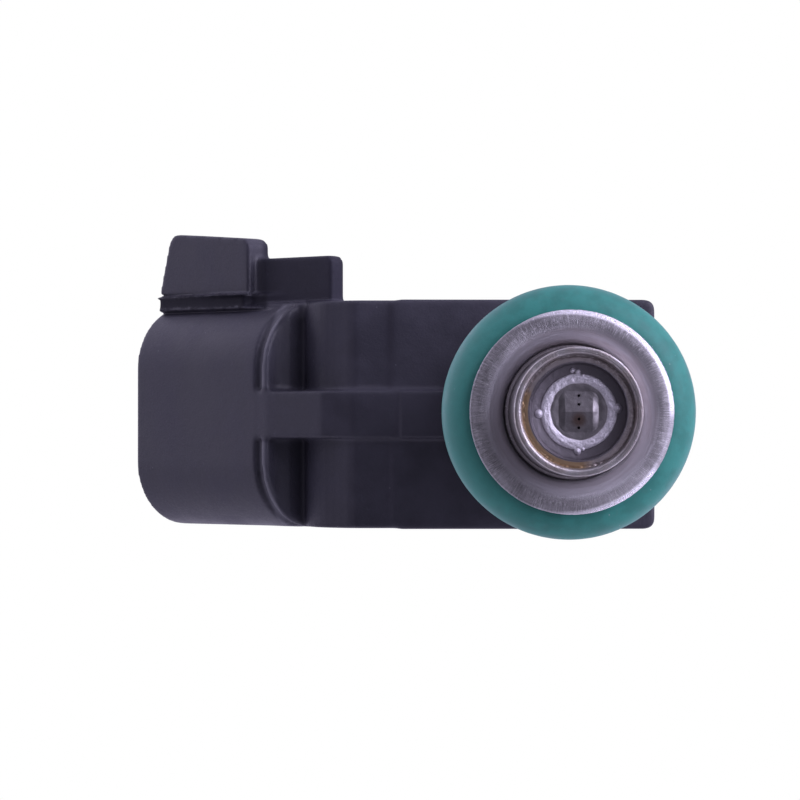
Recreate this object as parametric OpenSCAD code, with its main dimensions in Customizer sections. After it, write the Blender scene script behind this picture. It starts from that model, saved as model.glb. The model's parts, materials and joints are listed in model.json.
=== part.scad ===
// Port fuel injector: a solenoid ball valve in a steel can, with a moulded body and a side-lock connector.
// Millimetres. The origin is the centre of the nozzle tube's spray-end face, +Z runs along the axis to the
// fuel inlet, and +X points to the side of the electrical connector. The lock is on the +Y side.

/* [Nozzle] */
// Outer diameter of the nozzle tube at the spray end
nozzle_od = 7.24; // [7.1:0.02:7.3]
// Bore of the nozzle tube
nozzle_bore = 6.3; // [6.2:0.02:6.34]
// Diameter of the spray plate's flat bottom
plate_d = 5.5; // [5.3:0.05:5.6]
// Diameter of each spray hole
spray_hole_d = 0.2; // [0.14:0.02:0.3]
// Outer diameter of the flared retaining ring
ring_od = 11.7; // [11.3:0.1:11.9]

/* [Seals] */
// Diameter of the seats that the O-rings stretch over
seal_seat_d = 7.7; // [7.66:0.02:7.74]
// Thickness of the O-rings
o_ring_section = 3.48; // [3.4:0.02:3.5]
// Distance between the two O-rings' middles
seal_spacing = 48; // [48:0.5:56]

/* [Valve] */
// Lift of the valve
lift = 0.08; // [0.04:0.01:0.12]
// Diameter of the valve ball
ball_d = 3.0; // [2.9:0.02:3.04]
// Running clearance on the radius of the ball and the armature
running_clearance = 0.04; // [0.02:0.01:0.08]
// Outer diameter of the needle tube
needle_od = 1.9; // [1.7:0.05:1.95]
// Wire diameter of the return spring
spring_wire = 0.42; // [0.3:0.02:0.46]
// Turns of the return spring
spring_turns = 9; // [6:1:12]

/* [Coil] */
// Outer diameter of the magnet housing
can_od = 12.4; // [12.2:0.1:12.6]
// Wall of the magnet housing
can_wall = 0.7; // [0.5:0.05:0.8]
// Depth of each turn's groove in the winding
turn_groove = 0.12; // [0.05:0.01:0.2]

/* [Moulded body] */
// Width of the moulded body, across the lock
body_width = 14.4; // [14:0.1:15]
// Reach of the body on the side away from the connector
body_back = 6.94; // [6.8:0.02:7.2]
// Reach of the body on the connector's side
body_front = 9.6; // [9.2:0.1:10]
// Height of the body's lower face above the spray end
body_bottom = 25; // [24.6:0.1:25.2]
// Height of the top of the body's rectangular foot above the spray end
block_top = 33; // [31:0.5:34]
// Height of the top of the body's round tower above the spray end
tower_top = 40.5; // [40:0.5:42]
// Radius of the upper neck
collar_r = 5.9; // [5.6:0.1:6.1]
// Width of the rib under the connector's arm
rib_width = 3; // [2:0.1:4]

/* [Connector] */
// Lean of the connector above the horizontal
conn_tilt = 45; // [43:1:47]
// Length of the shroud
shroud_length = 11.2; // [10.8:0.1:12]
// Height of the shroud
shroud_height = 10.4; // [10.2:0.1:11]
// Wall of the shroud
shroud_wall = 1.25; // [1.1:0.05:1.4]
// Radius of the shroud's outer corners
shroud_corner = 4.2; // [3.6:0.1:4.6]
// Distance between the two terminals
terminal_pitch = 5; // [4.9:0.1:5.4]
// Width of each terminal blade
blade_width = 2.8; // [2.4:0.1:3]
// Thickness of each terminal
blade_thickness = 0.8; // [0.6:0.1:0.8]

/* [Hidden] */
$fn = 96;
eps = 0.01;

steel = "silver";
dark_steel = "slategray";
black_plastic = "#34323f";
seal_green = "#4a8c8a";

bore_r = nozzle_bore / 2;
seat_r = seal_seat_d / 2;
can_r = can_od / 2;

// Heights of the joints between the pieces on the axis
seal_z = 6.75;
upper_seal_z = seal_z + seal_spacing;
seal_half = o_ring_section / 2;
plate_z = 1.35;
plate_t = 0.25;
seat_bottom = plate_z + plate_t;
seat_top = 3.5;
guide_top = 4.5;
tube_top = 15.5;
shell_top = 21;
armature_bottom = 13.2;
armature_top = 19.4;
pole_bottom = armature_top + lift + 0.01;
pole_top = 30;
spring_bottom = 15.8;
spring_top = 25.2;
sleeve_top = 30.5;
can_bottom = 9.3;
can_top = 27;
body_top = upper_seal_z - seal_half - 1;
flange_bottom = upper_seal_z + seal_half + 0.25;
flange_top = flange_bottom + 1.4;

// Valve: a ball on a 45 degree cone
ball_r = ball_d / 2;
cone_apex = 1.75;
ball_z = cone_apex + ball_r * sqrt(2) + 0.004;
ball_flat = ball_z + sqrt(pow(ball_r, 2) - pow(needle_od / 2 + 0.04, 2));
needle_top = 14.8;
orifice_r = 0.7;

// Connector: u runs along the mating direction from the shroud's back edge, v up from its lower wall
conn_x = 18.13;
conn_z = 29;
bead_back = -0.95;
socket_floor = 1.6;
mid_v = shroud_height / 2;
blade_tip = socket_floor + 7;
neck_v = 3.55;
lock_v = 2.3;
root_v = 2.75;
lock_side = body_width / 2;

function arc(centre, r, from, to, steps = 8) =
    [for (i = [0 : steps]) let (a = from + (to - from) * i / steps)
        [centre[0] + r * cos(a), centre[1] + r * sin(a)]];

// A point of the side view (x, z) from connector coordinates (u, v)
function side_point(u, v) = [
    conn_x + u * cos(conn_tilt) - v * sin(conn_tilt),
    conn_z + u * sin(conn_tilt) + v * cos(conn_tilt)
];

module ring(r_out, r_in, bottom, top) {
    translate([0, 0, bottom])
        difference() {
            cylinder(r = r_out, h = top - bottom);
            translate([0, 0, -1]) cylinder(r = r_in, h = top - bottom + 2);
        }
}

module post(r, bottom, top) {
    translate([0, 0, bottom]) cylinder(r = r, h = top - bottom);
}

// A side-view outline made into a plate across the middle plane
module side_plate(width) {
    rotate([90, 0, 0]) linear_extrude(width, center = true) children();
}

module rounded_rectangle(x0, x1, y0, y1, r) {
    translate([x0 + r, y0]) square([x1 - x0 - 2 * r, y1 - y0]);
    translate([x0, y0 + r]) square([x1 - x0, y1 - y0 - 2 * r]);
    for (x = [x0 + r, x1 - r], y = [y0 + r, y1 - r]) translate([x, y]) circle(r);
}

// Turns (v, y, u) drawn along z into the connector's lean: z becomes u, x becomes v
module along_connector() {
    translate([conn_x, 0, conn_z]) rotate([0, -conn_tilt, 0]) rotate([0, 90, 0]) mirror([1, 0, 0]) children();
}

module shroud_section(inset) {
    r = shroud_corner - inset;
    rounded_rectangle(inset, shroud_height - inset, inset - body_width / 2, body_width / 2 - inset, r);
}

// ---- Nozzle end ----

module nozzle_tube() {
    edge = 0.12;
    color(steel) rotate_extrude() polygon([
        [bore_r, edge], [bore_r + edge, 0], [nozzle_od / 2 - edge, 0], [nozzle_od / 2, edge],
        [nozzle_od / 2, 4.4], [seat_r, 4.6], [seat_r, tube_top], [bore_r, tube_top]
    ]);
}

// The plate's rim is bent down and out to the tube, where it is welded. A roof with two slopes stands on
// the middle of the plate inside a ring of weld, and each slope has two holes.
module orifice_plate() {
    rim_r = plate_d / 2;
    roof_x = 1.05;
    roof_y = 1.15;
    roof_h = 0.22;
    color(dark_steel) difference() {
        union() {
            rotate_extrude() polygon([
                [0, plate_z], [rim_r - 0.12, plate_z], [rim_r, plate_z - 0.15], [rim_r + 0.03, 0.47],
                [rim_r + 0.12, 0.45], [bore_r, 0.6], [bore_r, 0.9], [rim_r + 0.2, seat_bottom],
                [0, seat_bottom]
            ]);
            translate([0, 0, plate_z]) rotate_extrude()
                polygon([[1.57, eps], [1.68, -0.11], [2.04, -0.11], [2.15, eps]]);
            intersection() {
                rotate([90, 0, 90]) linear_extrude(2 * roof_x, center = true)
                    polygon([[-roof_y, plate_z + eps], [0, plate_z - roof_h], [roof_y, plate_z + eps]]);
                post(1.35, 0.8, seat_bottom);
            }
        }
        for (y = [-0.9, -0.41, 0.41, 0.9]) translate([0, y, 0]) cylinder(d = spray_hole_d, h = 3, $fn = 24);
    }
}

// The recess under the seat feeds all four spray holes
module valve_seat() {
    color(steel) difference() {
        post(bore_r, seat_bottom, seat_top);
        post(orifice_r, 0, seat_top);
        post(1.25, 0, seat_bottom + 0.2);
        translate([0, 0, cone_apex])
            cylinder(r1 = 0, r2 = 3, h = 3);
    }
}

module ball_guide() {
    color(steel) difference() {
        post(bore_r, seat_top, guide_top);
        post(ball_r + running_clearance, 0, guide_top + 1);
        for (a = [0 : 60 : 300]) rotate(a) translate([2.35, 0, seat_top - 1]) cylinder(r = 0.42, h = 3, $fn = 24);
    }
}

module valve_ball() {
    color("gainsboro") intersection() {
        translate([0, 0, ball_z]) sphere(ball_r);
        post(ball_r + 1, 0, ball_flat);
    }
}

module needle_tube() {
    color(steel) difference() {
        ring(needle_od / 2, needle_od / 2 - 0.35, ball_flat, needle_top);
        for (z = [6.4, 8.2]) translate([0, 0, z]) rotate([90, 0, 0]) cylinder(r = 0.35, h = 6, center = true, $fn = 24);
    }
}

module armature() {
    armature_r = bore_r - running_clearance;
    edge = 0.2;
    color(dark_steel) difference() {
        rotate_extrude() polygon([
            [0, armature_bottom], [armature_r - edge, armature_bottom], [armature_r, armature_bottom + edge],
            [armature_r, armature_top - edge], [armature_r - edge, armature_top], [0, armature_top]
        ]);
        post(needle_od / 2, armature_bottom - 1, needle_top);
        post(needle_od / 2 - 0.35, needle_top - 1, spring_bottom + 1);
        post(1.6, spring_bottom, armature_top + 1);
    }
}

module adjusting_sleeve() {
    edge = 0.15;
    color(steel) rotate_extrude() polygon([
        [0.9, spring_top], [1.6 - edge, spring_top], [1.6, spring_top + edge], [1.6, sleeve_top - edge],
        [1.6 - edge, sleeve_top], [0.9, sleeve_top]
    ]);
}

module pole_piece() {
    edge = 0.25;
    color(dark_steel) rotate_extrude() polygon([
        [1.6, pole_bottom], [bore_r - edge, pole_bottom], [bore_r, pole_bottom + edge],
        [bore_r, pole_top - edge], [bore_r - edge, pole_top], [1.6, pole_top]
    ]);
}

module nonmagnetic_shell() {
    color(steel) ring(seat_r, bore_r, tube_top, shell_top);
}

// The helix runs between two flat end turns, and its section is a regular polygon
module return_spring() {
    sides = 8;
    steps = 20;
    mean_r = 1.32;
    wire_r = spring_wire / 2;
    low = spring_bottom + wire_r + eps;
    high = spring_top - wire_r - eps;
    count = spring_turns * steps;
    function climb(t) = min(max((t * spring_turns - 1) / (spring_turns - 2), 0), 1);
    points = [for (i = [0 : count]) let (t = i / count, a = 360 * spring_turns * t)
        for (k = [0 : sides - 1]) let (b = 360 * k / sides, r = mean_r + wire_r * cos(b))
            [r * cos(a), r * sin(a), low + (high - low) * (climb(t) * 0.92 + t * 0.08) + wire_r * sin(b)]];
    sleeves = [for (i = [0 : count - 1], k = [0 : sides - 1]) let (n = (k + 1) % sides)
        [i * sides + k, i * sides + n, (i + 1) * sides + n, (i + 1) * sides + k]];
    caps = [[for (k = [sides - 1 : -1 : 0]) k], [for (k = [0 : sides - 1]) count * sides + k]];
    color("lightsteelblue") polyhedron(points, concat(sleeves, caps), convexity = 10);
}

// ---- Coil ----

bobbin_bottom = can_bottom + 1.9;
bobbin_top = 25.2;
bobbin_r = can_r - can_wall - 0.2;
hub_r = 4.4;

module coil_bobbin() {
    flange = 0.9;
    color("saddlebrown") rotate_extrude() polygon([
        [seat_r + 0.02, bobbin_bottom], [bobbin_r, bobbin_bottom], [bobbin_r, bobbin_bottom + flange],
        [hub_r, bobbin_bottom + flange], [hub_r, bobbin_top - flange], [bobbin_r, bobbin_top - flange],
        [bobbin_r, bobbin_top], [seat_r + 0.02, bobbin_top]
    ]);
}

module coil_winding() {
    low = bobbin_bottom + 0.9;
    high = bobbin_top - 0.9;
    turns = 24;
    pitch = (high - low) / turns;
    winding_r = bobbin_r - 0.15;
    color("peru") rotate_extrude() polygon(concat(
        [[hub_r, high], [hub_r, low]],
        [for (i = [0 : turns - 1], s = [[0, 0], [0.3, 1], [0.7, 1]])
            [winding_r - turn_groove * (1 - s[1]), low + (i + s[0]) * pitch]],
        [[winding_r - turn_groove, high]]
    ));
}

module magnet_housing() {
    corner = 0.7;
    color(steel) rotate_extrude() polygon(concat(
        [[seat_r, can_bottom]],
        arc([can_r - corner, can_bottom + corner], corner, 270, 360),
        [[can_r, can_top], [can_r - can_wall, can_top], [can_r - can_wall, bobbin_bottom - 0.1],
         [seat_r, bobbin_bottom - 0.1]]
    ));
}

// A slot on the connector's side lets the terminals through
module flux_washer() {
    color(dark_steel) difference() {
        ring(can_r - can_wall, seat_r, bobbin_top + 0.1, can_top);
        translate([0, -3.4, bobbin_top - 1]) cube([can_r, 6.8, 4]);
    }
}

// One stamped strip: a leg on the bobbin, an arm and the blade that stands in the socket
module terminal_outline() {
    leg_x = 3.75;
    leg_w = 0.8;
    arm_z = 30.4;
    arm_end = side_point(-2.5, mid_v);
    translate([leg_x, bobbin_top]) square([leg_w, arm_z + 1.3 - bobbin_top]);
    translate([leg_x, arm_z]) square([arm_end[0] - leg_x, 1.3]);
    translate([conn_x, conn_z]) rotate(conn_tilt) {
        translate([-3.1, mid_v - 0.9]) square([4, 1.8]);
        translate([0, mid_v - blade_width / 2]) square([blade_tip - 0.7, blade_width]);
        polygon([
            [blade_tip - 0.8, mid_v - blade_width / 2], [blade_tip, mid_v - blade_width / 2 + 0.6],
            [blade_tip, mid_v + blade_width / 2 - 0.6], [blade_tip - 0.8, mid_v + blade_width / 2]
        ]);
    }
}

module terminal(side) {
    color("lightgray") translate([0, side * terminal_pitch / 2, 0])
        side_plate(blade_thickness) terminal_outline();
}

module terminal_left() {
    terminal(-1);
}

module terminal_right() {
    terminal(1);
}

// ---- Seals ----

// A flared ring: a bell-mouthed front with a rolled edge, and a short collar pressed onto the tube
module lower_retaining_ring() {
    bend = [seat_r + 1.31, 5.6];
    edge_r = 0.29;
    front = 4.3;
    color(steel) rotate_extrude() polygon(concat(
        [[seat_r, 5.88]],
        arc(bend, 1.3, 180, 270, 10),
        arc([ring_od / 2 - edge_r, front - 0.04 + edge_r], edge_r, 270, 450, 10),
        arc(bend, 0.86, 270, 185, 8),
        [[4.05, 5.88]]
    ));
}

module o_ring(z) {
    color(seal_green) translate([0, 0, z]) rotate_extrude()
        translate([seat_r + seal_half, 0]) circle(seal_half, $fn = 64);
}

module lower_o_ring() {
    o_ring(seal_z);
}

module upper_o_ring() {
    o_ring(upper_seal_z);
}

module backup_washer(bottom, top) {
    color("dimgray") ring(6.1, seat_r, bottom, top);
}

module lower_backup_washer() {
    backup_washer(seal_z + seal_half + 0.02, can_bottom);
}

module upper_backup_washer() {
    backup_washer(body_top, body_top + 0.98);
}

// ---- Inlet ----

module inlet_tube() {
    mouth_r = 3.1;
    filter_seat = flange_top - 3;
    edge = 0.3;
    flange_r = 5.4;
    color(steel) rotate_extrude() polygon([
        [bore_r, shell_top], [seat_r, shell_top], [seat_r, flange_bottom], [flange_r, flange_bottom],
        [flange_r, flange_top - edge], [flange_r - edge, flange_top], [mouth_r + edge, flange_top],
        [mouth_r, flange_top - edge], [mouth_r, filter_seat], [2.7, filter_seat], [2.7, pole_top + 0.5],
        [bore_r, pole_top]
    ]);
}

filter_top = upper_seal_z + seal_half + 0.4;
filter_bottom = filter_top - 10;

module inlet_filter_frame() {
    color("khaki") {
        difference() {
            union() {
                ring(3.1, 2.1, filter_top - 1.6, filter_top);
                ring(2.65, 1.9, filter_bottom, filter_bottom + 0.8);
                ring(2.65, 1.9, filter_bottom + 4.6, filter_bottom + 5.2);
                post(2.3, filter_bottom, filter_bottom + 0.6);
                intersection() {
                    ring(2.65, 2.1, filter_bottom, filter_top - 0.5);
                    for (a = [0, 60, 120]) rotate(a) translate([-3, -0.4, filter_bottom]) cube([6, 0.8, 10]);
                }
            }
            ring(3.2, 2.66, filter_bottom - 1, filter_top - 1.8);
        }
    }
}

module inlet_filter_mesh() {
    color("whitesmoke") difference() {
        post(1.88, filter_bottom + 0.62, filter_top - 0.1);
        post(1.78, filter_bottom + 0.72, filter_top);
    }
}

// ---- Moulded body ----

// Side view of the neck that joins the shroud to the body. Its lower face ends in a rounded shoulder.
module neck_outline() {
    corner = side_point(bead_back, neck_v);
    low = body_bottom + 0.15;
    start = [11.83, low];
    polygon(concat(
        [[0, low]],
        [for (a = [15 : 7.5 : 90]) [
            start[0] + (corner[0] - start[0]) * (sin(a) - sin(15)) / (1 - sin(15)),
            start[1] + (corner[1] - start[1]) * (cos(15) - cos(a)) / cos(15)
        ]],
        [side_point(0.5, neck_v), side_point(0.5, shroud_height - 1.2),
         side_point(-1.5, shroud_height - 1.2), [body_front - 2.6, tower_top - 2.5],
         [body_front - 4.2, tower_top - 1], [0, tower_top - 1]]
    ));
}

// The rectangular foot of the body, which the steel can stands in
module block() {
    chamfer = 1;
    intersection() {
        translate([0, 0, body_bottom]) linear_extrude(block_top - body_bottom)
            rounded_rectangle(-body_back, body_front, -body_width / 2, body_width / 2, 0.6);
        side_plate(body_width + 2) polygon([
            [-body_back - 1, body_bottom], [body_front + 1, body_bottom], [body_front + 1, block_top],
            [chamfer - body_back, block_top], [-body_back, block_top - chamfer], [-body_back - 1, block_top - chamfer]
        ]);
    }
}

// The round part above the foot, with a gusset on each side and one at the back
module tower() {
    tower_r = body_width / 2 - 0.1;
    gusset = [[0, block_top - 1], [tower_r - 0.2, block_top - 1], [tower_r - 0.2, tower_top - 0.5],
              [collar_r - 0.2, tower_top + 4.5], [0, tower_top + 4.5]];
    rotate_extrude() polygon([
        [0, block_top - 1], [tower_r, block_top - 1], [tower_r, tower_top - 1.3],
        [tower_r - 1.3, tower_top], [0, tower_top]
    ]);
    for (a = [90, 180, 270]) rotate(a) side_plate(1.4) polygon(gusset);
}

// The upper neck, with the groove that a rail clip snaps into
module collar() {
    groove_bottom = tower_top + 6;
    difference() {
        post(collar_r, tower_top - 1, body_top);
        ring(collar_r + 1, collar_r - 0.8, groove_bottom, groove_bottom + 2.2);
    }
}

module shroud() {
    along_connector() {
        translate([0, 0, 0.1]) linear_extrude(shroud_length - 0.1) shroud_section(0);
        translate([0, 0, bead_back + 0.2]) linear_extrude(1) shroud_section(0.35);
        translate([0, 0, bead_back]) linear_extrude(0.47) shroud_section(0.02);
    }
}

module socket() {
    lead_in = 0.5;
    along_connector() {
        difference() {
            translate([0, 0, socket_floor]) linear_extrude(shroud_length) shroud_section(shroud_wall);
            for (y = [-3.2, 3.2]) translate([shroud_wall - 1, y - 0.5, 0]) cube([1.6, 1, shroud_length - 2]);
        }
        translate([0, 0, shroud_length - 0.4]) linear_extrude(1) shroud_section(shroud_wall - lead_in);
    }
}

// Rib under the arm, from the shroud's lower wall to a land on the body's lower face
module rib() {
    land_end = body_front - 0.6;
    side_plate(rib_width) polygon([
        side_point(0.5, 0.01), side_point(0.5, neck_v + 1), [body_front, body_bottom + 4],
        [can_r - 0.5, body_bottom + 1], [can_r - 0.5, body_bottom - 0.4], [land_end, body_bottom - 0.4],
        [land_end, body_bottom - 0.2], [12, body_bottom - 0.2], [14, body_bottom + 0.6],
        side_point(bead_back, 0.01)
    ]);
}

// Lock on the shroud's side: a stop with a sloped lead-in on a recessed root, and a lower rail behind it
module lock() {
    stop_back = 3;
    stop_front = shroud_length - 0.05;
    along_connector() {
        translate([lock_v, lock_side, 0]) rotate([0, 90, 0]) mirror([1, 0, 0]) linear_extrude(1.9)
            polygon([
                [stop_back, 0.5], [stop_front, 0.74], [stop_front - 0.95, 4.35], [stop_front - 1.4, 4.75],
                [stop_back + 0.45, 4.27], [stop_back, 3.85]
            ]);
        translate([root_v, lock_side - 3, stop_back + 0.1]) cube([2.3, 4.2, stop_front - stop_back - 0.1]);
        translate([lock_v + 0.8, lock_side - 1, 0]) rotate([0, 90, 0]) mirror([1, 0, 0]) linear_extrude(1.2)
            polygon([[-3.7, 0], [3.7, 0], [3.7, 3.95], [-3.35, 3.95], [-3.7, 3.6]]);
    }
}

module overmold_body() {
    color(black_plastic) difference() {
        union() {
            block();
            tower();
            collar();
            side_plate(body_width - 0.1) neck_outline();
            shroud();
            rib();
            lock();
        }
        socket();
        post(can_r, body_bottom - 2, can_top);
        post(seat_r, 0, body_top + 1);
        for (side = [-1, 1]) terminal(side);
    }
}

nozzle_tube();
orifice_plate();
valve_seat();
ball_guide();
valve_ball();
needle_tube();
armature();
return_spring();
adjusting_sleeve();
pole_piece();
nonmagnetic_shell();
coil_bobbin();
coil_winding();
magnet_housing();
flux_washer();
terminal_left();
terminal_right();
lower_retaining_ring();
lower_o_ring();
lower_backup_washer();
overmold_body();
inlet_tube();
upper_o_ring();
upper_backup_washer();
inlet_filter_frame();
inlet_filter_mesh();
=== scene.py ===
"""The looks of a port fuel injector, seen from its spray end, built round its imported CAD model."""

import json
import math

import bmesh
import bpy
import numpy as np
from mathutils import Matrix, Vector


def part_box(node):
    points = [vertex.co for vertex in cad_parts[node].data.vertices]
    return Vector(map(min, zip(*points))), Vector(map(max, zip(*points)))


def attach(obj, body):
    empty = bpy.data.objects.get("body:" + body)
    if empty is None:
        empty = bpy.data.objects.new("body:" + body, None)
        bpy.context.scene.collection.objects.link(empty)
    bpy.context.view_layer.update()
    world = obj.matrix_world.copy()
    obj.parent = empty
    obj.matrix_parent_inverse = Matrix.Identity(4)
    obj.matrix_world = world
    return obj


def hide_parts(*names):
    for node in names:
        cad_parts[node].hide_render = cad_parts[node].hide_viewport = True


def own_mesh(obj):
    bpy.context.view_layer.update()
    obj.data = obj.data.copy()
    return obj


MM = 0.001
WHOLE = "injector_body"

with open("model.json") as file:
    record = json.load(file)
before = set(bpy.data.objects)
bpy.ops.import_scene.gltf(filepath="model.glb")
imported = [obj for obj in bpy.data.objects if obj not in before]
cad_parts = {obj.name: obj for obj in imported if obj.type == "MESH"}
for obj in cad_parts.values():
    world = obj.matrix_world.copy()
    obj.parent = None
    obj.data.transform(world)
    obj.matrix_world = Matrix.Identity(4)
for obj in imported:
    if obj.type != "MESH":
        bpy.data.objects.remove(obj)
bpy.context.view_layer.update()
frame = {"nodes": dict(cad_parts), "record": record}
scene = bpy.context.scene


# ---------------------------------------------------------------- meshes

def keep(name, mesh, slot, replaced):
    """A finished mesh as a piece that rides on the injector's body and stands for its CAD nodes."""
    piece = bpy.data.objects.new(name, mesh)
    scene.collection.objects.link(piece)
    piece.data.materials.clear()
    piece.data.materials.append(MATERIALS[slot])
    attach(piece, WHOLE)
    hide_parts(*replaced)
    return piece


def mesh_from(name, points, faces, sharp_angle=50):
    """A smooth-shaded mesh from points in millimetres, with edges over the angle kept sharp."""
    mesh = bpy.data.meshes.new(name)
    mesh.from_pydata((np.asarray(points) * MM).tolist(), [], faces)
    mesh.validate()
    shape = bmesh.new()
    shape.from_mesh(mesh)
    bmesh.ops.recalc_face_normals(shape, faces=shape.faces)
    shape.to_mesh(mesh)
    shape.free()
    mesh.shade_smooth()
    mesh.set_sharp_from_angle(angle=math.radians(sharp_angle))
    return mesh


def arc(centre, radius, start, end, steps):
    """Points (r, z) on an arc, with angles in degrees."""
    turn = np.radians(np.linspace(start, end, steps + 1))
    return [(centre[0] + radius * math.cos(t), centre[1] + radius * math.sin(t)) for t in turn]


def rounded(outline, radius, steps=4):
    """A closed outline with each corner rounded off, starting radius away from it."""
    result = []
    points = [Vector(p) for p in outline]
    for before, corner, after in zip(points[-1:] + points[:-1], points, points[1:] + points[:1]):
        back = (before - corner) * min(radius / (before - corner).length, 0.45)
        ahead = (after - corner) * min(radius / (after - corner).length, 0.45)
        for t in np.linspace(0, 1, steps + 1):
            result.append(tuple(corner + back * (1 - t) ** 2 + ahead * t ** 2))
    return result


def dense(outline, spacing):
    """A closed outline with points added, so that none are further apart than spacing."""
    result = []
    for a, b in zip(outline, outline[1:] + outline[:1]):
        count = max(1, math.ceil(math.dist(a, b) / spacing))
        result += [tuple(np.array(a) + (np.array(b) - np.array(a)) * i / count) for i in range(count)]
    return result


def lathe(name, outline, steps, detailed, sharp_angle=50):
    """A closed outline of (r, z) points turned round the axis. worn(r, z, angle) moves the points."""
    angle = np.linspace(0, 2 * math.pi, steps, endpoint=False)[:, None]
    r, z = np.array(outline).T
    r, z = detailed(np.tile(r, (steps, 1)), np.tile(z, (steps, 1)), angle)
    points = np.stack([r * np.cos(angle), r * np.sin(angle), z], -1).reshape(-1, 3)
    n = len(outline)
    faces = [
        (i * n + j, (i + 1) % steps * n + j, (i + 1) % steps * n + (j + 1) % n, i * n + (j + 1) % n)
        for i in range(steps) for j in range(n)
    ]
    return mesh_from(name, points, faces, sharp_angle)


class Waves:
    """Smooth seeded noise over the angle round the axis and a place in millimetres, from -1 to 1.
    There are fewer than turns waves round the axis, and along the place a wave is about pitch long."""

    def __init__(self, seed, turns, count=24, pitch=0.4):
        chance = np.random.default_rng(seed)
        self.turns = chance.integers(1, turns, count)
        self.along = chance.normal(0, 2 * math.pi / pitch, count)
        self.phase = chance.uniform(0, 2 * math.pi, count)
        self.size = chance.uniform(0.4, 1, count)
        self.size /= math.sqrt((self.size ** 2).sum() / 2)

    def __call__(self, angle, place=0.0):
        total = 0
        for turns, along, phase, size in zip(self.turns, self.along, self.phase, self.size):
            total = total + size * np.sin(turns * angle + along * place + phase)
        return np.tanh(total * 0.8)


def step(x, low, high):
    """Smooth step from 0 at low to 1 at high."""
    t = np.clip((x - low) / (high - low), 0, 1)
    return t * t * (3 - 2 * t)


# ---------------------------------------------------------------- materials

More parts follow.
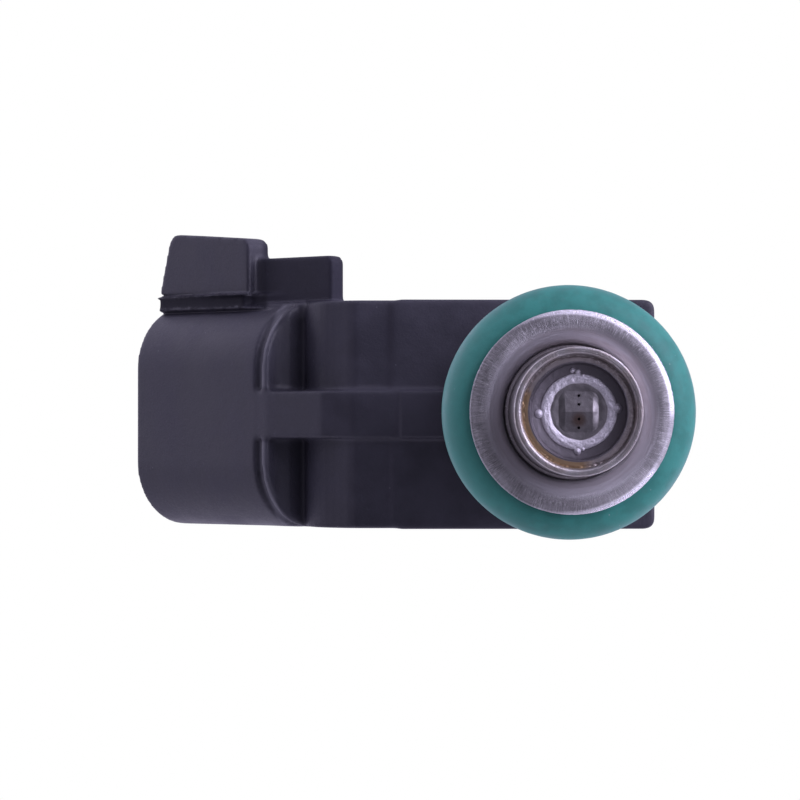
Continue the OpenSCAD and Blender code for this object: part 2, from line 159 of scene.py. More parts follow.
class Finish:
    """A material with the node calls that the finishes below share. Textures are in millimetres."""

    def __init__(self, slot, roughness, metallic=0.0, specular=0.5):
        self.material = bpy.data.materials.new(slot)
        self.material.use_nodes = True
        self.tree = self.material.node_tree
        self.shader = self.tree.nodes["Principled BSDF"]
        self.shader.inputs["Roughness"].default_value = roughness
        self.shader.inputs["Metallic"].default_value = metallic
        self.shader.inputs["Specular IOR Level"].default_value = specular
        self.place = self.vector("SCALE", self.node("ShaderNodeTexCoord").outputs["Object"], scale=1 / MM)
        self.parts = self.node("ShaderNodeSeparateXYZ")
        self.join(self.place, self.parts.inputs[0])

    def node(self, kind, **settings):
        node = self.tree.nodes.new(kind)
        for name, value in settings.items():
            setattr(node, name, value)
        return node

    def join(self, value, socket):
        """Links an output, or sets a plain value."""
        if isinstance(value, bpy.types.NodeSocket):
            self.tree.links.new(value, socket)
        else:
            socket.default_value = value

    def math(self, operation, *values):
        node = self.node("ShaderNodeMath", operation=operation)
        for value, socket in zip(values, node.inputs):
            self.join(value, socket)
        return node.outputs[0]

    def product(self, *values):
        result = values[0]
        for value in values[1:]:
            result = self.math("MULTIPLY", result, value)
        return result

    def vector(self, operation, *values, scale=None):
        node = self.node("ShaderNodeVectorMath", operation=operation)
        for value, socket in zip(values, node.inputs):
            self.join(value, socket)
        if scale is not None:
            node.inputs["Scale"].default_value = scale
        return node.outputs["Value" if operation == "DISTANCE" else "Vector"]

    def axis(self, name):
        return self.parts.outputs[name]

    def radius(self):
        """Distance from the injector's axis."""
        square = [self.product(self.axis(a), self.axis(a)) for a in "XY"]
        return self.math("SQRT", self.math("ADD", *square))

    def towards(self, turn):
        """How far a point lies in a direction round the axis, from -1 to 1. Angles are in degrees, as the
        camera sees them: anticlockwise from its right, which is -X."""
        along = [self.product(self.axis("X"), -math.cos(math.radians(turn))),
                 self.product(self.axis("Y"), math.sin(math.radians(turn)))]
        return self.math("DIVIDE", self.math("ADD", *along), self.radius())

    def around(self, turns, along=0.0, out=0.0):
        """A place that changes with the angle round the axis, along it and outwards, at these rates."""
        flat = self.vector("MULTIPLY", self.place, (1, 1, 0))
        spin = self.vector("SCALE", self.vector("NORMALIZE", flat), scale=turns)
        rise = self.node("ShaderNodeCombineXYZ")
        height = self.math("ADD", self.product(self.axis("Z"), along), self.product(self.radius(), out))
        self.join(height, rise.inputs["Z"])
        return self.vector("ADD", spin, rise.outputs[0])

    def noise(self, scale, detail=3.0, roughness=0.55, place=None, distortion=0.0):
        """Cloudy noise, mostly between 0.3 and 0.7."""
        node = self.node("ShaderNodeTexNoise")
        self.join(self.place if place is None else place, node.inputs["Vector"])
        node.inputs["Scale"].default_value = scale
        node.inputs["Detail"].default_value = detail
        node.inputs["Roughness"].default_value = roughness
        node.inputs["Distortion"].default_value = distortion
        return node.outputs["Fac"]

    def cells(self, scale):
        """Distance to the middle of the nearest cell."""
        node = self.node("ShaderNodeTexVoronoi")
        self.join(self.place, node.inputs["Vector"])
        node.inputs["Scale"].default_value = scale
        return node.outputs["Distance"]

    def between(self, value, low, high, out_low=0.0, out_high=1.0):
        """value mapped from low..high to out_low..out_high, clamped and smooth."""
        node = self.node("ShaderNodeMapRange", interpolation_type="SMOOTHSTEP")
        for socket, number in zip(node.inputs, (value, low, high, out_low, out_high)):
            self.join(number, socket)
        return node.outputs["Result"]

    def band(self, value, low, full, fading, high):
        """0 below low and above high, and 1 from full to fading."""
        return self.product(self.between(value, low, full), self.between(value, high, fading))

    def blend(self, factor, first, second):
        node = self.node("ShaderNodeMix", data_type="RGBA")
        self.join(factor, node.inputs["Factor"])
        for value, socket in ((first, node.inputs[6]), (second, node.inputs[7])):
            self.join((*value, 1) if isinstance(value, tuple) else value, socket)
        return node.outputs[2]

    def colour(self, value):
        self.join((*value, 1) if isinstance(value, tuple) else value, self.shader.inputs["Base Color"])

    def roughness(self, value):
        self.join(value, self.shader.inputs["Roughness"])

    def bump(self, height, depth):
        """Adds a bump of the given depth in millimetres to those already there."""
        node = self.node("ShaderNodeBump")
        node.inputs["Strength"].default_value = 1
        node.inputs["Distance"].default_value = depth * MM
        self.join(height, node.inputs["Height"])
        if self.shader.inputs["Normal"].links:
            self.join(self.shader.inputs["Normal"].links[0].from_socket, node.inputs["Normal"])
        self.join(node.outputs["Normal"], self.shader.inputs["Normal"])

    def specks(self, scale, size, least):
        """Scattered small spots: 1 inside them. There are none where a broad noise is under least."""
        spots = self.between(self.cells(scale), size, size * 0.5)
        return self.product(spots, self.between(self.noise(scale * 0.35, 1), least, least + 0.02))


def painted_lock_shade(f):
    """Painted shade in the band under the connector's lock, with a ragged edge for the moulding's flash.
    """
    ragged = f.math("ADD", f.axis("Y"), f.product(f.noise(1.8, 6, 0.8), 1.1))
    band = f.band(ragged, 7.4, 7.65, 8.25, 8.5)
    under = f.between(f.math("SUBTRACT", f.axis("Z"), f.axis("X")), 17, 16)
    return f.product(band, f.between(f.axis("X"), 17.2, 17.6), under)


def painted_bead_highlight(f):
    """A painted highlight on the bead round the back edge of the connector's shroud, which also shines
    more.
    """
    along = f.math("SUBTRACT", f.math("ADD", f.axis("X"), f.axis("Z")), sum(SHROUD_CORNER))
    aside = f.math("ABSOLUTE", f.axis("Y"))
    bead = f.product(f.band(along, -1.5, -1.2, -0.2, 0.1), f.band(aside, 1.6, 1.9, 6.9, 7.2))
    return f.product(bead, f.between(f.axis("X"), 13.5, 14.5))


def painted_shade_places(f):
    """Painted shade on faces of the moulding that lie in shadow: the lock's smaller block, and the slope
    of the arm next to the shroud on both sides of the rib."""
    block = f.product(f.between(f.axis("Y"), 7.25, 7.4), f.between(f.axis("X"), 17.9, 17.5))
    beside_rib = f.between(f.math("ABSOLUTE", f.axis("Y")), 1.5, 1.7)
    slope = f.product(f.band(f.axis("X"), 12.3, 13.8, 14.8, 15.2), beside_rib)
    slope = f.product(slope, f.between(f.axis("Z"), 33, 31))
    return f.math("MAXIMUM", block, f.product(slope, 0.8))


def moulded_plastic(slot, colour, detailed=False):
    """Satin plastic with a fine mould grain. The detailed body has painted shade, a painted highlight and
    specks of dust, and shines more and less in places.
    """
    shine = 0.45
    f = Finish(slot, 0.5, specular=shine)
    patches = f.noise(0.35, 4)
    grain = f.noise(7, 4, 0.6)
    body = f.blend(f.between(patches, 0.35, 0.7), colour, tuple(1.35 * c for c in colour))
    rubbed = f.between(f.noise(1.3, 6, 0.7, distortion=1.5), 0.62, 0.75, 0, 0.35)
    body = f.blend(rubbed, body, tuple(2.2 * c + 0.01 for c in colour))
    if detailed:
        # Painted shade and a painted highlight, with specks of dust
        shade = tuple(0.4 * c for c in colour)
        lock_shade, shaded, bead = painted_lock_shade(f), painted_shade_places(f), painted_bead_highlight(f)
        # Painted shade in the band under the lock
        body = f.blend(f.product(lock_shade, 0.75), body, shade)
        # Painted shade on the lock's smaller block and on the slope beside the rib
        body = f.blend(f.product(shaded, 0.25), body, shade)
        # Painted highlight on the shroud's bead, a lighter blue-grey
        body = f.blend(f.product(bead, 0.5), body, (0.06, 0.06, 0.085))
        # Less shine where shade is painted, more on the bead's painted highlight
        less = f.math("MAXIMUM", f.product(lock_shade, 0.35), f.product(shaded, 0.33))
        total = f.math("ADD", f.math("SUBTRACT", shine, less), f.product(bead, 0.5))
        f.join(total, f.shader.inputs["Specular IOR Level"])
        body = f.blend(f.product(f.specks(1.1, 0.08, 0.6), 0.25), body, (0.2, 0.19, 0.22))
    f.colour(body)
    rough = f.math("ADD", f.product(grain, 0.4), f.product(patches, 0.6))
    f.roughness(f.between(rough, 0.3, 0.7, 0.4, 0.62))
    f.bump(patches, 0.03)
    f.bump(f.noise(2.2, 3), 0.01)
    f.bump(grain, 0.012)
    return f.material


def seal_rubber(slot, colour):
    """Matt rubber with a faint bloom and specks of dust, with painted light on its left side as the
    camera sees it.
    """
    f = Finish(slot, 0.5, specular=0.3)
    patches = f.noise(0.9, 4)
    bloom = f.between(f.noise(3, 5, 0.65), 0.5, 0.75, 0, 0.25)
    body = f.blend(f.between(patches, 0.35, 0.65), colour, tuple(1.25 * c for c in colour))
    body = f.blend(bloom, body, tuple(0.8 * c + 0.05 for c in colour))
    # Painted light: lighter towards the left
    body = f.blend(f.between(f.towards(185), 0.2, 1, 0, 0.6), body, tuple(1.3 * c + 0.03 for c in colour))
    body = f.blend(f.product(f.specks(1.6, 0.08, 0.55), 0.5), body, (0.4, 0.46, 0.45))
    f.colour(body)
    f.roughness(f.between(patches, 0.3, 0.7, 0.42, 0.56))
    f.bump(patches, 0.02)
    f.bump(f.noise(9, 4, 0.6), 0.006)
    return f.material


def metal(slot, colour, roughness, marks, depth, tint=None):
    """Bare metal. marks gives the height of its working marks, depth is how deep they are."""
    f = Finish(slot, roughness, metallic=1.0)
    lines = marks(f)
    patches = f.noise(0.7, 4)
    body = f.blend(f.between(patches, 0.3, 0.7), tuple(0.8 * c for c in colour), colour)
    body = f.blend(f.between(lines, 0.45, 0.7, 0, 0.35), body, tuple(min(1, 1.3 * c) for c in colour))
    rough = f.math("ADD", f.product(lines, 0.5), f.product(patches, 0.5))
    f.roughness(f.between(rough, 0.3, 0.7, roughness * 0.8, min(1, roughness * 1.25)))
    if tint:
        body = tint(f, body)
    f.colour(body)
    f.bump(lines, depth)
    return f.material


def turned(rate):
    """Fine marks that run round the axis, as a lathe leaves them."""
    return lambda f: f.noise(1, 5, 0.7, place=f.around(0.6, along=rate, out=rate))


def matt(scale):
    """Marks with no direction."""
    return lambda f: f.noise(scale, 5, 0.65)


def ring_steel(slot, colour):
    """Pressed steel: scratched away from the axis on the outer part, with painted light on the scratches,
    smooth and stained towards the tube with a painted highlight on the bell's lower right, and rubbed
    smooth round its rolled edge, with a painted highlight there that is strongest on the lit side."""
    tube_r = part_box("nozzle_tube")[1].x / MM
    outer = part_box("lower_retaining_ring")[1].x / MM

    def on_flange(f):
        return f.between(f.radius(), tube_r + 0.6, tube_r + 1.4)

    def marks(f):
        brushed = f.noise(1, 6, 0.85, place=f.around(90, out=2))
        smooth = f.noise(1, 4, 0.6, place=f.around(1.5, out=5))
        mix = f.node("ShaderNodeMix", data_type="FLOAT")
        f.join(on_flange(f), mix.inputs[0])
        f.join(smooth, mix.inputs[2])
        f.join(brushed, mix.inputs[3])
        return mix.outputs[0]

    def flange_colour(f, body, streak, lit_side):
        flange = on_flange(f)
        patchy = f.between(f.noise(1.4, 5, 0.7), 0.38, 0.6, 0.25, 1)
        blotch = f.between(f.noise(0.9, 4, 0.6), 0.4, 0.62, 0, 0.35)
        body = f.blend(f.product(flange, blotch), body, tuple(1.6 * c for c in colour))
        # Real brushing streaks, with painted light: darker away from the lit side and brighter towards it
        dark = f.product(flange, f.between(streak, 0.54, 0.4, 0, 0.7), patchy,
                         f.between(lit_side, 0, 1, 1, 0.7))
        body = f.blend(dark, body, tuple(0.3 * c for c in colour))
        bright = f.product(flange, f.between(streak, 0.53, 0.65, 0, 0.6), patchy,
                           f.between(lit_side, 0, 1, 0.6, 1.1))
        return f.blend(bright, body, (0.95, 0.94, 0.96))

    def bell_colour(f, body):
        bell = f.between(f.radius(), tube_r + 1.25, tube_r + 0.55)
        body = f.blend(bell, body, (0.74, 0.73, 0.77))
        # Painted highlight on the bell's lower right
        painted_bell_highlight = f.product(bell, f.between(f.towards(-55), 0.5, 0.95, 0, 0.7))
        body = f.blend(painted_bell_highlight, body, (0.97, 0.96, 0.99))
        stain = f.between(f.noise(1.2, 4, place=f.around(1.5, out=2)), 0.4, 0.65, 0.05, 0.4)
        stain = f.product(bell, stain, f.between(f.towards(50), -0.2, 0.6, 0.15, 1))
        return f.blend(stain, body, (0.5, 0.43, 0.41))

    def tint(f, body):
        streak = f.noise(1, 6, 0.9, place=f.around(70, out=1.8))
        lit_side = f.between(f.towards(10), -0.7, 0.3)
        body = flange_colour(f, body, streak, lit_side)
        # Painted highlight round the rolled edge, wider and stronger on the lit side and weaker just
        # below the right; the edge is also rubbed smoother
        reach = f.math("ADD", f.radius(), f.product(f.math("ADD", streak, lit_side), 0.25))
        gap = f.between(f.towards(-18), 0.94, 0.98, 1, 0.3)
        rubbed = f.product(f.between(reach, outer - 0.02, outer + 0.16),
                           f.between(lit_side, 0, 1, 0.2, 0.9), gap)
        body = f.blend(rubbed, body, (0.88, 0.86, 0.9))
        f.roughness(f.between(rubbed, 0, 1, 0.4, 0.26))
        return bell_colour(f, body)

    return metal(slot, colour, 0.38, marks, 0.05, tint)


def plate_steel(slot, colour):
    """The spray plate: heat-tinted brown where its rim is welded to the tube, stained round the holes."""
    rim_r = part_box("orifice_plate")[1].x / MM
    top_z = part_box("orifice_plate")[1].z / MM

    def tint(f, body):
        reach = f.radius()
        ring = f.band(reach, 1.9, 2.1, rim_r - 0.4, rim_r - 0.3)
        body = f.blend(ring, body, (0.21, 0.195, 0.21))
        weld = f.node("ShaderNodeAttribute", attribute_name="weld").outputs["Fac"]
        frost = f.noise(13, 5, 0.7)
        frosted = f.blend(f.between(frost, 0.35, 0.65), (0.62, 0.6, 0.63), (0.8, 0.78, 0.82))
        body = f.blend(weld, body, frosted)
        f.bump(f.product(frost, weld), 0.012)
        band = f.between(reach, rim_r - 0.36, rim_r - 0.3)
        body = f.blend(band, body, (0.42, 0.38, 0.37))
        low = f.math("ADD", f.towards(218), f.product(f.noise(1.1, 4), 0.5))
        body = f.blend(f.product(band, f.between(low, 0.5, 0.9, 0, 0.9)), body, (0.5, 0.34, 0.18))
        # Painted shadow of the bore's wall on the band's right side, mottled
        painted_wall_shadow = f.between(f.noise(7, 6, 0.75), 0.4, 0.6, 0, 0.45)
        painted_wall_shadow = f.product(f.between(f.towards(20), 0.2, 0.8), painted_wall_shadow)
        body = f.blend(f.product(band, painted_wall_shadow), body, (0.12, 0.1, 0.09))
        flat = f.vector("MULTIPLY", f.place, (1, 1, 0))
        far = f.vector("DISTANCE", flat, (PLATE_SHIFT, -0.45, 0.0))
        body = f.blend(f.product(f.between(far, 0.6, 0.15), 0.7), body, (0.15, 0.085, 0.055))
        # Painted shade in the holes, dark as their open bores would be
        hole = f.product(f.between(f.axis("Z"), top_z - 0.19, top_z - 0.13), f.between(reach, 1.4, 1.3))
        f.roughness(f.between(weld, 0, 1, 0.36, 0.62))
        return f.blend(hole, body, (0.05, 0.045, 0.05))

    return metal(slot, colour, 0.4, matt(3), 0.02, tint)


def nozzle_steel(slot, colour):
    """Machined steel: mottled painted shade on the side, darker at the rim's right, with a faint brown
    heat tint.
    """
    def tint(f, body):
        # Painted shade on the tube's side, mottled
        shaded = f.between(f.noise(5, 5, 0.75), 0.66, 0.56, 0.1, 1)
        side = f.product(f.between(f.axis("Z"), 0.15, 0.5), shaded)
        body = f.blend(f.product(side, 0.8), body, (0.2, 0.18, 0.18))
        right = f.product(f.between(f.axis("Z"), 0.4, 0.2), f.between(f.towards(-5), 0.6, 0.95, 0, 0.5))
        body = f.blend(right, body, (0.2, 0.17, 0.17))
        heat = f.product(f.between(f.axis("Z"), 0.9, 0.1), f.between(f.noise(0.8, 3), 0.4, 0.65))
        return f.blend(f.product(heat, 0.3), body, (0.32, 0.23, 0.17))

    def marks(f):
        return f.product(f.noise(9, 5, 0.7), f.noise(1, 5, 0.7, place=f.around(0.6, along=11, out=11)))

    return metal(slot, colour, 0.42, marks, 0.03, tint)


def copper_wire(slot, colour):
    """Enamelled wire, with its turns as fine marks."""
    f = Finish(slot, 0.32, metallic=1.0)
    f.shader.inputs["Coat Weight"].default_value = 0.6
    f.colour(f.blend(f.between(f.noise(2, 4), 0.35, 0.7), colour, tuple(0.7 * c for c in colour)))
    f.bump(f.noise(1, 3, place=f.around(2, along=16)), 0.01)
    return f.material


def gauze(slot, colour):
    """Woven cloth: over and under threads from two waves along and round the axis."""
    f = Finish(slot, 0.75, specular=0.3)
    angle = f.math("ARCTAN2", f.axis("Y"), f.axis("X"))
    warp = f.math("SINE", f.product(angle, 96))
    weft = f.math("SINE", f.product(f.axis("Z"), 50))
    weave = f.product(warp, weft)
    f.colour(f.blend(f.between(weave, -0.6, 0.6), tuple(0.45 * c for c in colour), colour))
    f.bump(weave, 0.03)
    return f.material


def black_washer(slot, colour):
    """Plastic washer with faint marks that run round it."""
    f = Finish(slot, 0.55, specular=0.4)
    f.colour(f.blend(f.noise(1.2, 4), colour, tuple(1.4 * c for c in colour)))
    f.bump(f.noise(1, 4, place=f.around(1, along=9, out=9)), 0.01)
    return f.material


# The spray plate sits a little off the tube's axis
PLATE_SHIFT = -0.1
# Lower back corner (x, z) of the connector's shroud, which leans 45 degrees
SHROUD_CORNER = (18.13, 29)

MATERIALS = {
    "moulded_plastic": moulded_plastic("moulded_plastic", (0.032, 0.031, 0.043), detailed=True),
    "seal_rubber": seal_rubber("seal_rubber", (0.038, 0.215, 0.175)),
    "nozzle_steel": nozzle_steel("nozzle_steel", (0.58, 0.56, 0.55)),
    "plate_steel": plate_steel("plate_steel", (0.32, 0.305, 0.31)),
    "ring_steel": ring_steel("ring_steel", (0.27, 0.265, 0.27)),
    "can_steel": metal("can_steel", (0.5, 0.49, 0.49), 0.42, turned(7), 0.01),
    "magnetic_steel": metal("magnetic_steel", (0.4, 0.39, 0.4), 0.4, turned(9), 0.01),
    "hard_steel": metal("hard_steel", (0.5, 0.5, 0.51), 0.25, turned(14), 0.006),
    "ball_steel": metal("ball_steel", (0.7, 0.7, 0.71), 0.1, matt(4), 0.002),
    "spring_steel": metal("spring_steel", (0.45, 0.45, 0.46), 0.3, matt(6), 0.008),
    "tin_plate": metal("tin_plate", (0.68, 0.67, 0.64), 0.3, matt(8), 0.008),
    "copper_wire": copper_wire("copper_wire", (0.62, 0.27, 0.12)),
    "washer_plastic": black_washer("washer_plastic", (0.045, 0.044, 0.048)),
    "bobbin_nylon": moulded_plastic("bobbin_nylon", (0.16, 0.1, 0.05)),
    "filter_nylon": moulded_plastic("filter_nylon", (0.42, 0.36, 0.2)),
    "filter_gauze": gauze("filter_gauze", (0.7, 0.68, 0.62)),
}

for part in frame["record"]["subparts"]:
    node = frame["nodes"][part["node"]]
    node.data.materials.clear()
    node.data.materials.append(MATERIALS[part["material_slot"]])


# ---------------------------------------------------------------- spray end

tube_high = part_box("nozzle_tube")[1] / MM
plate_low, plate_high = (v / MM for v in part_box("orifice_plate"))
ring_low, ring_high = (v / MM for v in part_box("lower_retaining_ring"))
seal_low, seal_high = (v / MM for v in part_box("lower_o_ring"))

tip_wall = 0.47
seat_r = tube_high.x
bore_r = plate_high.x
tip_r = bore_r + tip_wall


def nozzle_tube():
    """The tube's machined end has burrs and nicks round both edges."""
    bevel_out, bevel_up = 0.12, 0.24
    tip_end, seat_start = 4.4, 4.6
    outline = rounded([
        (bore_r, bevel_up), (bore_r + bevel_out, 0), (tip_r, 0), (tip_r, tip_end), (seat_r, seat_start),
        (seat_r, tube_high.z), (bore_r, tube_high.z)
    ], 0.1)
    broad, fine = Waves(3, turns=14), Waves(4, count=40, turns=170, pitch=0.15)

    def detailed(r, z, angle):
        rim = step(z, 0.3, 0.0)
        middle = (bore_r + bevel_out + tip_r) / 2
        nick = np.clip(fine(angle, r) * 0.5 + broad(angle, r * 0.3) * 0.5 - 0.2, 0, 1)
        z = z + rim * (0.008 + 0.012 * nick)
        edge = step(abs(r - middle), 0.08, 0.16)
        r = r + rim * edge * np.sign(middle - r) * 0.03 * np.clip(fine(angle + 1, 2 * r) - 0.1, 0, 1)
        side = step(r, tip_r - 0.02, tip_r) * step(z, 0.15, 0.4) * step(z, tip_end - 0.1, tip_end - 0.4)
        return r - side * 0.012 * (1 + fine(angle, z)) / 2, z

    return lathe("nozzle_tube_steel", dense(outline, 0.3), 720, detailed)


def retaining_ring():
    """A bell-mouthed ring: the bell, a flange that falls back a little, and a rolled edge."""
    edge, back_bend = 0.13, 0.86
    bell_depth, fall = 0.7, 0.2
    outer = ring_high.x
    crest = seat_r + 1.31
    front = ring_low.z
    bell = np.linspace(math.pi / 2, 0, 24)
    flange = np.linspace(0.08, 0.95, 12)
    outline = [(seat_r, ring_high.z)]
    outline += [
        (crest - (crest - seat_r) * math.sin(t), front + bell_depth * (1 - math.cos(t))) for t in bell
    ]
    outline += [(crest + (outer - edge - crest) * t, front + fall * t * t) for t in flange]
    outline += arc((outer - edge, front + fall + edge), edge, 290, 450, 14)
    outline += arc((crest, ring_high.z - 0.28), back_bend, 270, 185, 12)
    outline += [(seat_r + 0.2, ring_high.z)]
    broad, fine = Waves(8, turns=9), Waves(9, count=36, turns=150)

    def detailed(r, z, angle):
        rolled = step(r, outer - 0.5, outer - 0.05)
        z = z + 0.012 * rolled * broad(angle)
        nick = np.clip(fine(angle, z) - 0.45, 0, 1)
        return r - rolled * (0.03 * nick + 0.006 * (1 + broad(angle))), np.maximum(z, ring_low.z)

    return lathe("retaining_ring_steel", outline, 540, detailed)


def o_ring(name, low, high):
    """A moulded ring, a little thinner than the CAD's, with a faint flash line outside and inside."""
    slack = 0.03
    half = (high.z - low.z) / 2
    middle = (high.x - half, (high.z + low.z) / 2)
    broad, fine = Waves(12, turns=7), Waves(13, turns=60)

    def detailed(r, z, angle):
        out = r - middle[0]
        up = z - middle[1]
        size = np.hypot(out, up)
        flash = 0.028 * np.exp(-(up / 0.05) ** 2)
        uneven = 0.004 * (1 + broad(angle, up * 0.2)) + 0.002 * (1 + fine(angle, up))
        swell = 1 - (slack - flash + uneven) / size
        return middle[0] + out * swell, middle[1] + up * swell

    return lathe(name, arc(middle, half, 0, 360, 96)[:-1], 420, detailed, sharp_angle=180)


# Lumps where the weld started and stopped: angle from -X towards +Y, distance from the axis and radius
NUBS = (
    (99, 2.34, 0.15), (92, 2.24, 0.15), (84, 2.02, 0.14), (183, 2.24, 0.26), (268, 2.2, 0.22),
    (276, 2.1, 0.14), (5, 2.16, 0.3)
)


def spray_plate():
    """The plate from its middle out to the tube: a roof with two slopes and four holes, a rough ring of
    weld with its lumps, a flat ring, the wall of the cup, and a rim that is welded to the tube."""
    steps = 480
    roof_height, roof_half, roof_edge = 0.15, 1.15, 1.38
    weld_r, weld_half, weld_height = 1.87, 0.29, 0.07
    hole_r, hole_places = 0.078, (-0.9, -0.41, 0.41, 0.9)
    wall_r = bore_r - 0.4
    flat_z = plate_high.z - 0.25
    crest_z = plate_low.z
    radii = np.concatenate([
        np.linspace(start, end, count)[1:] for start, end, count in (
            (0, 1.4, 64), (1.4, 2.4, 58), (2.4, wall_r - 0.14, 8), (wall_r - 0.14, wall_r + 0.02, 24),
            (wall_r + 0.02, bore_r, 20)
        )
    ])
    angle = np.linspace(0, 2 * math.pi, steps, endpoint=False)[:, None]
    r = np.tile(radii, (steps, 1))
    x, y = r * np.cos(angle), r * np.sin(angle)
    shifted_x = x + PLATE_SHIFT * step(r, wall_r + 0.02, wall_r - 0.14)

    fine, broad = Waves(21, count=40, turns=80, pitch=0.3), Waves(22, turns=12)
    lumps = Waves(23, count=40, turns=34, pitch=0.5)

    side = np.clip((1.12 - abs(x)) / 0.34, 0, 1)
    roof = np.clip(roof_half - abs(y), 0, 2) / roof_half * roof_height
    roof = roof * (0.7 * side + 0.3 * step(side, 0, 1)) * step(roof_edge - r, 0, 0.07)
    dish = 0.02 * step(r, 1.5, 1.1) - 0.07 * step(r, 2.1, wall_r)
    off = (r - weld_r - 0.012 * broad(angle + 2)) / (weld_half + 0.015 * broad(angle))
    weld = np.clip(1 - off ** 2, 0, 1) ** 0.8
    weld = weld * (weld_height + 0.014 * lumps(angle, r) + 0.004 * fine(angle, r))
    for turn, out, size in NUBS:
        place = math.radians(turn)
        far = np.hypot(x + out * math.cos(place), y - out * math.sin(place))
        weld = np.maximum(weld, 0.6 * size * np.clip(1 - (far / size) ** 2, 0, 1) ** 1.3)

    up = step(r, wall_r - 0.12, wall_r + 0.01)
    z = flat_z - roof + dish - weld - up * (flat_z - crest_z - 0.02)
    back = step(r, wall_r + 0.1, bore_r)
    z = z + back * 0.08 + up * (0.012 * fine(angle, r) + 0.02 * broad(angle, r))
    for place in hole_places:
        far = np.hypot(x, y - place)
        z = z + (plate_high.z - 0.02 - z) * step(hole_r - far, 0, 0.02)
    z = np.clip(z, crest_z, plate_high.z - 0.02)

    n = len(radii)
    points = np.stack([shifted_x, y, z], -1).reshape(-1, 3).tolist()
    faces = [
        (i * n + j, (i + 1) % steps * n + j, (i + 1) % steps * n + j + 1, i * n + j + 1)
        for i in range(steps) for j in range(n - 1)
    ]
    points.append((PLATE_SHIFT, 0, flat_z + 0.02 - roof_height))
    top = len(points) - 1
    faces += [(top, (i + 1) % steps * n, i * n) for i in range(steps)]
    back_start = len(points)
    for z_back, r_back in ((crest_z + 0.45, bore_r), (plate_high.z, wall_r + 0.2)):
        points += [(r_back * math.cos(a), r_back * math.sin(a), z_back) for a in angle[:, 0]]
    for i in range(steps):
        k = (i + 1) % steps
        faces.append((i * n + n - 1, k * n + n - 1, back_start + k, back_start + i))
        faces.append((back_start + i, back_start + k, back_start + steps + k, back_start + steps + i))
    faces.append(tuple(back_start + steps + i for i in range(steps)))
    mesh = mesh_from("spray_plate_steel", points, faces, 40)
    welded = np.zeros(len(points), dtype=np.float32)
    welded[:top] = step(weld, 0.0, 0.03).ravel()
    mesh.attributes.new("weld", "FLOAT", "POINT").data.foreach_set("value", welded)
    return mesh


keep("nozzle_tube_steel", nozzle_tube(), "nozzle_steel", ["nozzle_tube"])
keep("retaining_ring_steel", retaining_ring(), "ring_steel", ["lower_retaining_ring"])
keep("spray_plate_steel", spray_plate(), "plate_steel", ["orifice_plate"])
for seal in ("lower_o_ring", "upper_o_ring"):
    low, high = (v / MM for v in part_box(seal))
    keep(seal + "_rubber", o_ring(seal + "_rubber", low, high), "seal_rubber", [seal])


# ---------------------------------------------------------------- moulded body

def fill_valley(x, y, z):
    """How far to fill the valley between the neck and the shroud: a share of its depth behind a line from
    the neck's shoulder to the shroud's edge, blending to nothing deeper in and at the ends."""
    share = 0.3
    shoulder, edge = (11.83, 25.15), (17.46, 28.33)
    line = shoulder[1] + (x - shoulder[0]) * (edge[1] - shoulder[1]) / (edge[0] - shoulder[0])
    depth = np.clip(z - line, 0, 9)
    ends = step(x, shoulder[0], 12.4) * step(x, edge[0], 15.9) * step(abs(y), 7.3, 7.1)
    return share * depth * step(depth, 9, 4) * ends


def fill_lock(x, y, z):
    """How far to lengthen the lock towards the mouth of the shroud, and to thicken the web below it."""
    length, thickness = 0.33, 0.75
    ahead = (x - SHROUD_CORNER[0] + z - SHROUD_CORNER[1]) * math.sqrt(0.5)
    above = (z - SHROUD_CORNER[1] - x + SHROUD_CORNER[0]) * math.sqrt(0.5)
    front = step(y, 7.6, 7.8) * step(ahead, 7, 11)
    web = step(y, 6.7, 6.95) * step(y, 7.95, 7.75) * step(above, 3.4, 2.9) * step(ahead, 0, 3)
    return length * front, thickness * web


def fill(mesh):
    """Moves the points of the remeshed body: the valley's floor towards the spray end, the lock's front
    towards the mouth of the shroud, and the web under the lock away from it."""
    points = np.empty(len(mesh.vertices) * 3)
    mesh.vertices.foreach_get("co", points)
    points = points.reshape(-1, 3)
    points[:, 2] -= fill_valley(*(points.T / MM)) * MM
    longer, thicker = fill_lock(*(points.T / MM))
    points[:, 0] += (longer + thicker) * math.sqrt(0.5) * MM
    points[:, 2] += (longer - thicker) * math.sqrt(0.5) * MM
    mesh.vertices.foreach_set("co", points.ravel())


def moulded_body():
    """The CAD body, remeshed finely and relaxed, so that its edges have a mould's small radii."""
    voxel = 0.12
    shape = bmesh.new()
    shape.from_mesh(frame["nodes"]["overmold_body"].data)
    bmesh.ops.remove_doubles(shape, verts=shape.verts, dist=0.0005 * MM)
    mesh = bpy.data.meshes.new("body_source")
    shape.to_mesh(mesh)
    shape.free()
    source = bpy.data.objects.new("body_source", mesh)
    scene.collection.objects.link(source)
    remesh = source.modifiers.new("remesh", "REMESH")
    remesh.mode = "VOXEL"
    remesh.voxel_size = voxel * MM
    relax = source.modifiers.new("relax", "SMOOTH")
    relax.factor = 0.5
    relax.iterations = 14
    ready = source.evaluated_get(bpy.context.evaluated_depsgraph_get())
    result = bpy.data.meshes.new_from_object(ready)
    bpy.data.objects.remove(source)
    fill(result)
    result.shade_smooth()
    return result


keep("moulded_body_plastic", moulded_body(), "moulded_plastic", ["overmold_body"])


# ---------------------------------------------------------------- return spring

def shorten_spring():
    """The return spring's wire, a copy of its CAD mesh that rides on the injector's body."""
    wire = keep("return_spring_wire", frame["nodes"]["return_spring"].data.copy(), "spring_steel",
                ["return_spring"])
    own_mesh(wire)


shorten_spring()


# ---------------------------------------------------------------- stage, light and camera

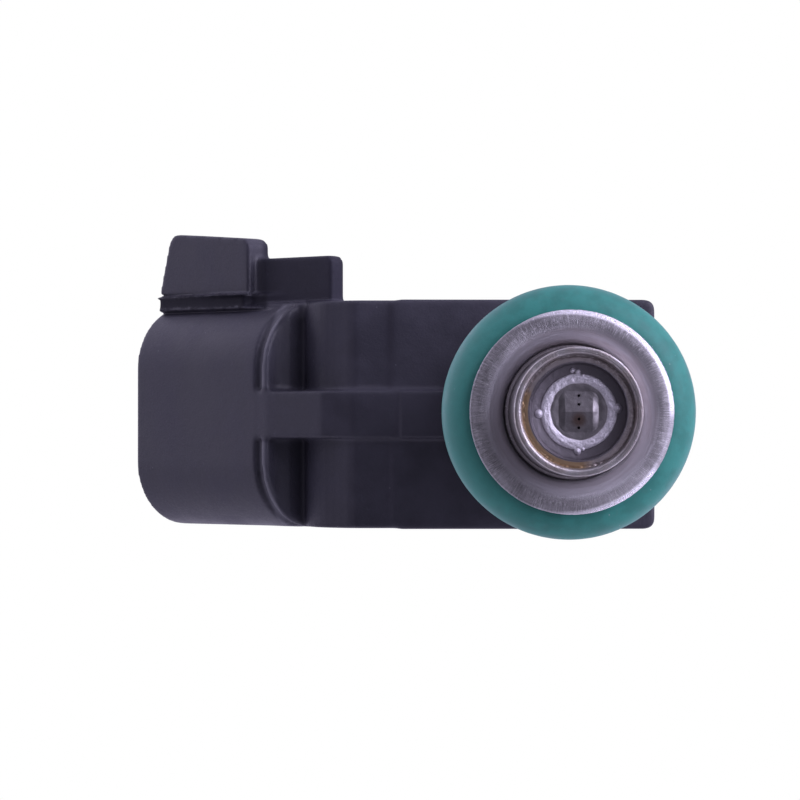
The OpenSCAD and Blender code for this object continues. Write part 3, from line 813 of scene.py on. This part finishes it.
def white_to_camera(tree, lit, seen, output):
    """Joins two shaders so that the camera sees one and the object is lit by the other."""
    path = tree.nodes.new("ShaderNodeLightPath")
    mix = tree.nodes.new("ShaderNodeMixShader")
    tree.links.new(path.outputs["Is Camera Ray"], mix.inputs[0])
    tree.links.new(lit, mix.inputs[1])
    tree.links.new(seen, mix.inputs[2])
    tree.links.new(mix.outputs[0], output)


# The colour of all light, which gives the photo's cool cast
TENT = (0.8, 0.75, 1.0)


def tent_light(tree, direction):
    """How much light reaches the object from each direction, as in a white tent with its opening at the
    camera: little from round the camera and its left, more from its right and all round the sides."""
    brightest = (-0.3, 0.1, 1)
    dim, bright = 0.12, 0.95
    lean = tree.nodes.new("ShaderNodeVectorMath")
    lean.operation = "DOT_PRODUCT"
    lean.inputs[1].default_value = brightest
    tree.links.new(direction, lean.inputs[0])
    ramp = tree.nodes.new("ShaderNodeMapRange")
    ramp.interpolation_type = "SMOOTHSTEP"
    for value, socket in zip((-1, -0.2, dim, bright), ramp.inputs[1:5]):
        socket.default_value = value
    tree.links.new(lean.outputs["Value"], ramp.inputs["Value"])
    return ramp.outputs[0]


def studio():
    world = bpy.data.worlds.new("studio")
    scene.world = world
    world.use_nodes = True
    tree = world.node_tree
    place = tree.nodes.new("ShaderNodeTexCoord")
    lit = tree.nodes["Background"]
    lit.inputs["Color"].default_value = (*TENT, 1)
    tree.links.new(tent_light(tree, place.outputs["Generated"]), lit.inputs["Strength"])
    seen = tree.nodes.new("ShaderNodeBackground")
    seen.inputs["Color"].default_value = (1, 1, 1, 1)
    output = tree.nodes["World Output"].inputs["Surface"]
    white_to_camera(tree, lit.outputs[0], seen.outputs[0], output)


def floor():
    """A pale floor far below, which lights the object as the tent's front wall."""
    depth = 0.32
    half = 6
    mesh = bpy.data.meshes.new("floor")
    corners = [(-half, -half, -depth), (half, -half, -depth), (half, half, -depth), (-half, half, -depth)]
    mesh.from_pydata(corners, [], [(0, 1, 2, 3)])
    plane = bpy.data.objects.new("floor", mesh)
    scene.collection.objects.link(plane)
    material = bpy.data.materials.new("floor")
    material.use_nodes = True
    tree = material.node_tree
    tree.nodes.remove(tree.nodes["Principled BSDF"])
    place = tree.nodes.new("ShaderNodeTexCoord")
    direction = tree.nodes.new("ShaderNodeVectorMath")
    direction.operation = "NORMALIZE"
    tree.links.new(place.outputs["Object"], direction.inputs[0])
    lit = tree.nodes.new("ShaderNodeEmission")
    lit.inputs["Color"].default_value = (*TENT, 1)
    tree.links.new(tent_light(tree, direction.outputs[0]), lit.inputs["Strength"])
    seen = tree.nodes.new("ShaderNodeEmission")
    seen.inputs["Color"].default_value = (0.92, 0.92, 0.92, 1)
    output = tree.nodes["Material Output"].inputs["Surface"]
    white_to_camera(tree, lit.outputs[0], seen.outputs[0], output)
    plane.data.materials.append(material)


def softbox(name, place, target, size, energy):
    """A square lamp that shines through the tent, with its size in metres and energy in watts."""
    light = bpy.data.lights.new(name, "AREA")
    light.shape = "SQUARE"
    light.size = size
    light.energy = energy
    light.color = TENT
    lamp = bpy.data.objects.new(name, light)
    scene.collection.objects.link(lamp)
    lamp.location = place
    lamp.rotation_euler = (Vector(target) - Vector(place)).to_track_quat("-Z", "Y").to_euler()


def lights():
    spray_end = (0, 0, 0.01)
    middle = (0.005, 0, 0.03)
    softbox("key", (-0.26, 0.16, -0.17), spray_end, 0.34, 1.3)
    softbox("fill", (-0.14, 0.02, -0.3), middle, 0.15, 0.04)
    softbox("side", (0.28, 0.1, 0), spray_end, 0.3, 0.06)
    softbox("front", (0.35, 0.15, 0.35), middle, 0.4, 0.5)
    softbox("rear", (-0.35, -0.3, 0.35), middle, 0.4, 0.6)


def camera():
    """The camera looks up the injector's axis from 200 mm in front of the lower O-ring. The axis passes
    to the right of the picture's middle and leans a little away from the line of sight."""
    distance = 200
    axis_right = 9.71
    axis_down = 0.71
    lean_right = 0.0348
    lean_up = 0.010
    picture_width = 45.98
    seal_middle = Vector((0, 0, (seal_low.z + seal_high.z) / 2))

    ahead = Vector((-lean_right, lean_up, 1)).normalized()
    right = ahead.cross(Vector((0, 1, 0))).normalized()
    up = right.cross(ahead)
    place = seal_middle - axis_right * right + axis_down * up - distance * ahead

    lens = bpy.data.cameras.new("camera")
    lens.sensor_width = 36
    lens.lens = distance / picture_width * lens.sensor_width
    lens.clip_start = 0.01
    lens.clip_end = 30
    eye = bpy.data.objects.new("camera", lens)
    scene.collection.objects.link(eye)
    matrix = Matrix((right, up, -ahead)).transposed().to_4x4()
    matrix.translation = place * MM
    eye.matrix_world = matrix
    scene.camera = eye


studio()
floor()
lights()
camera()
scene.view_settings.view_transform = "Standard"
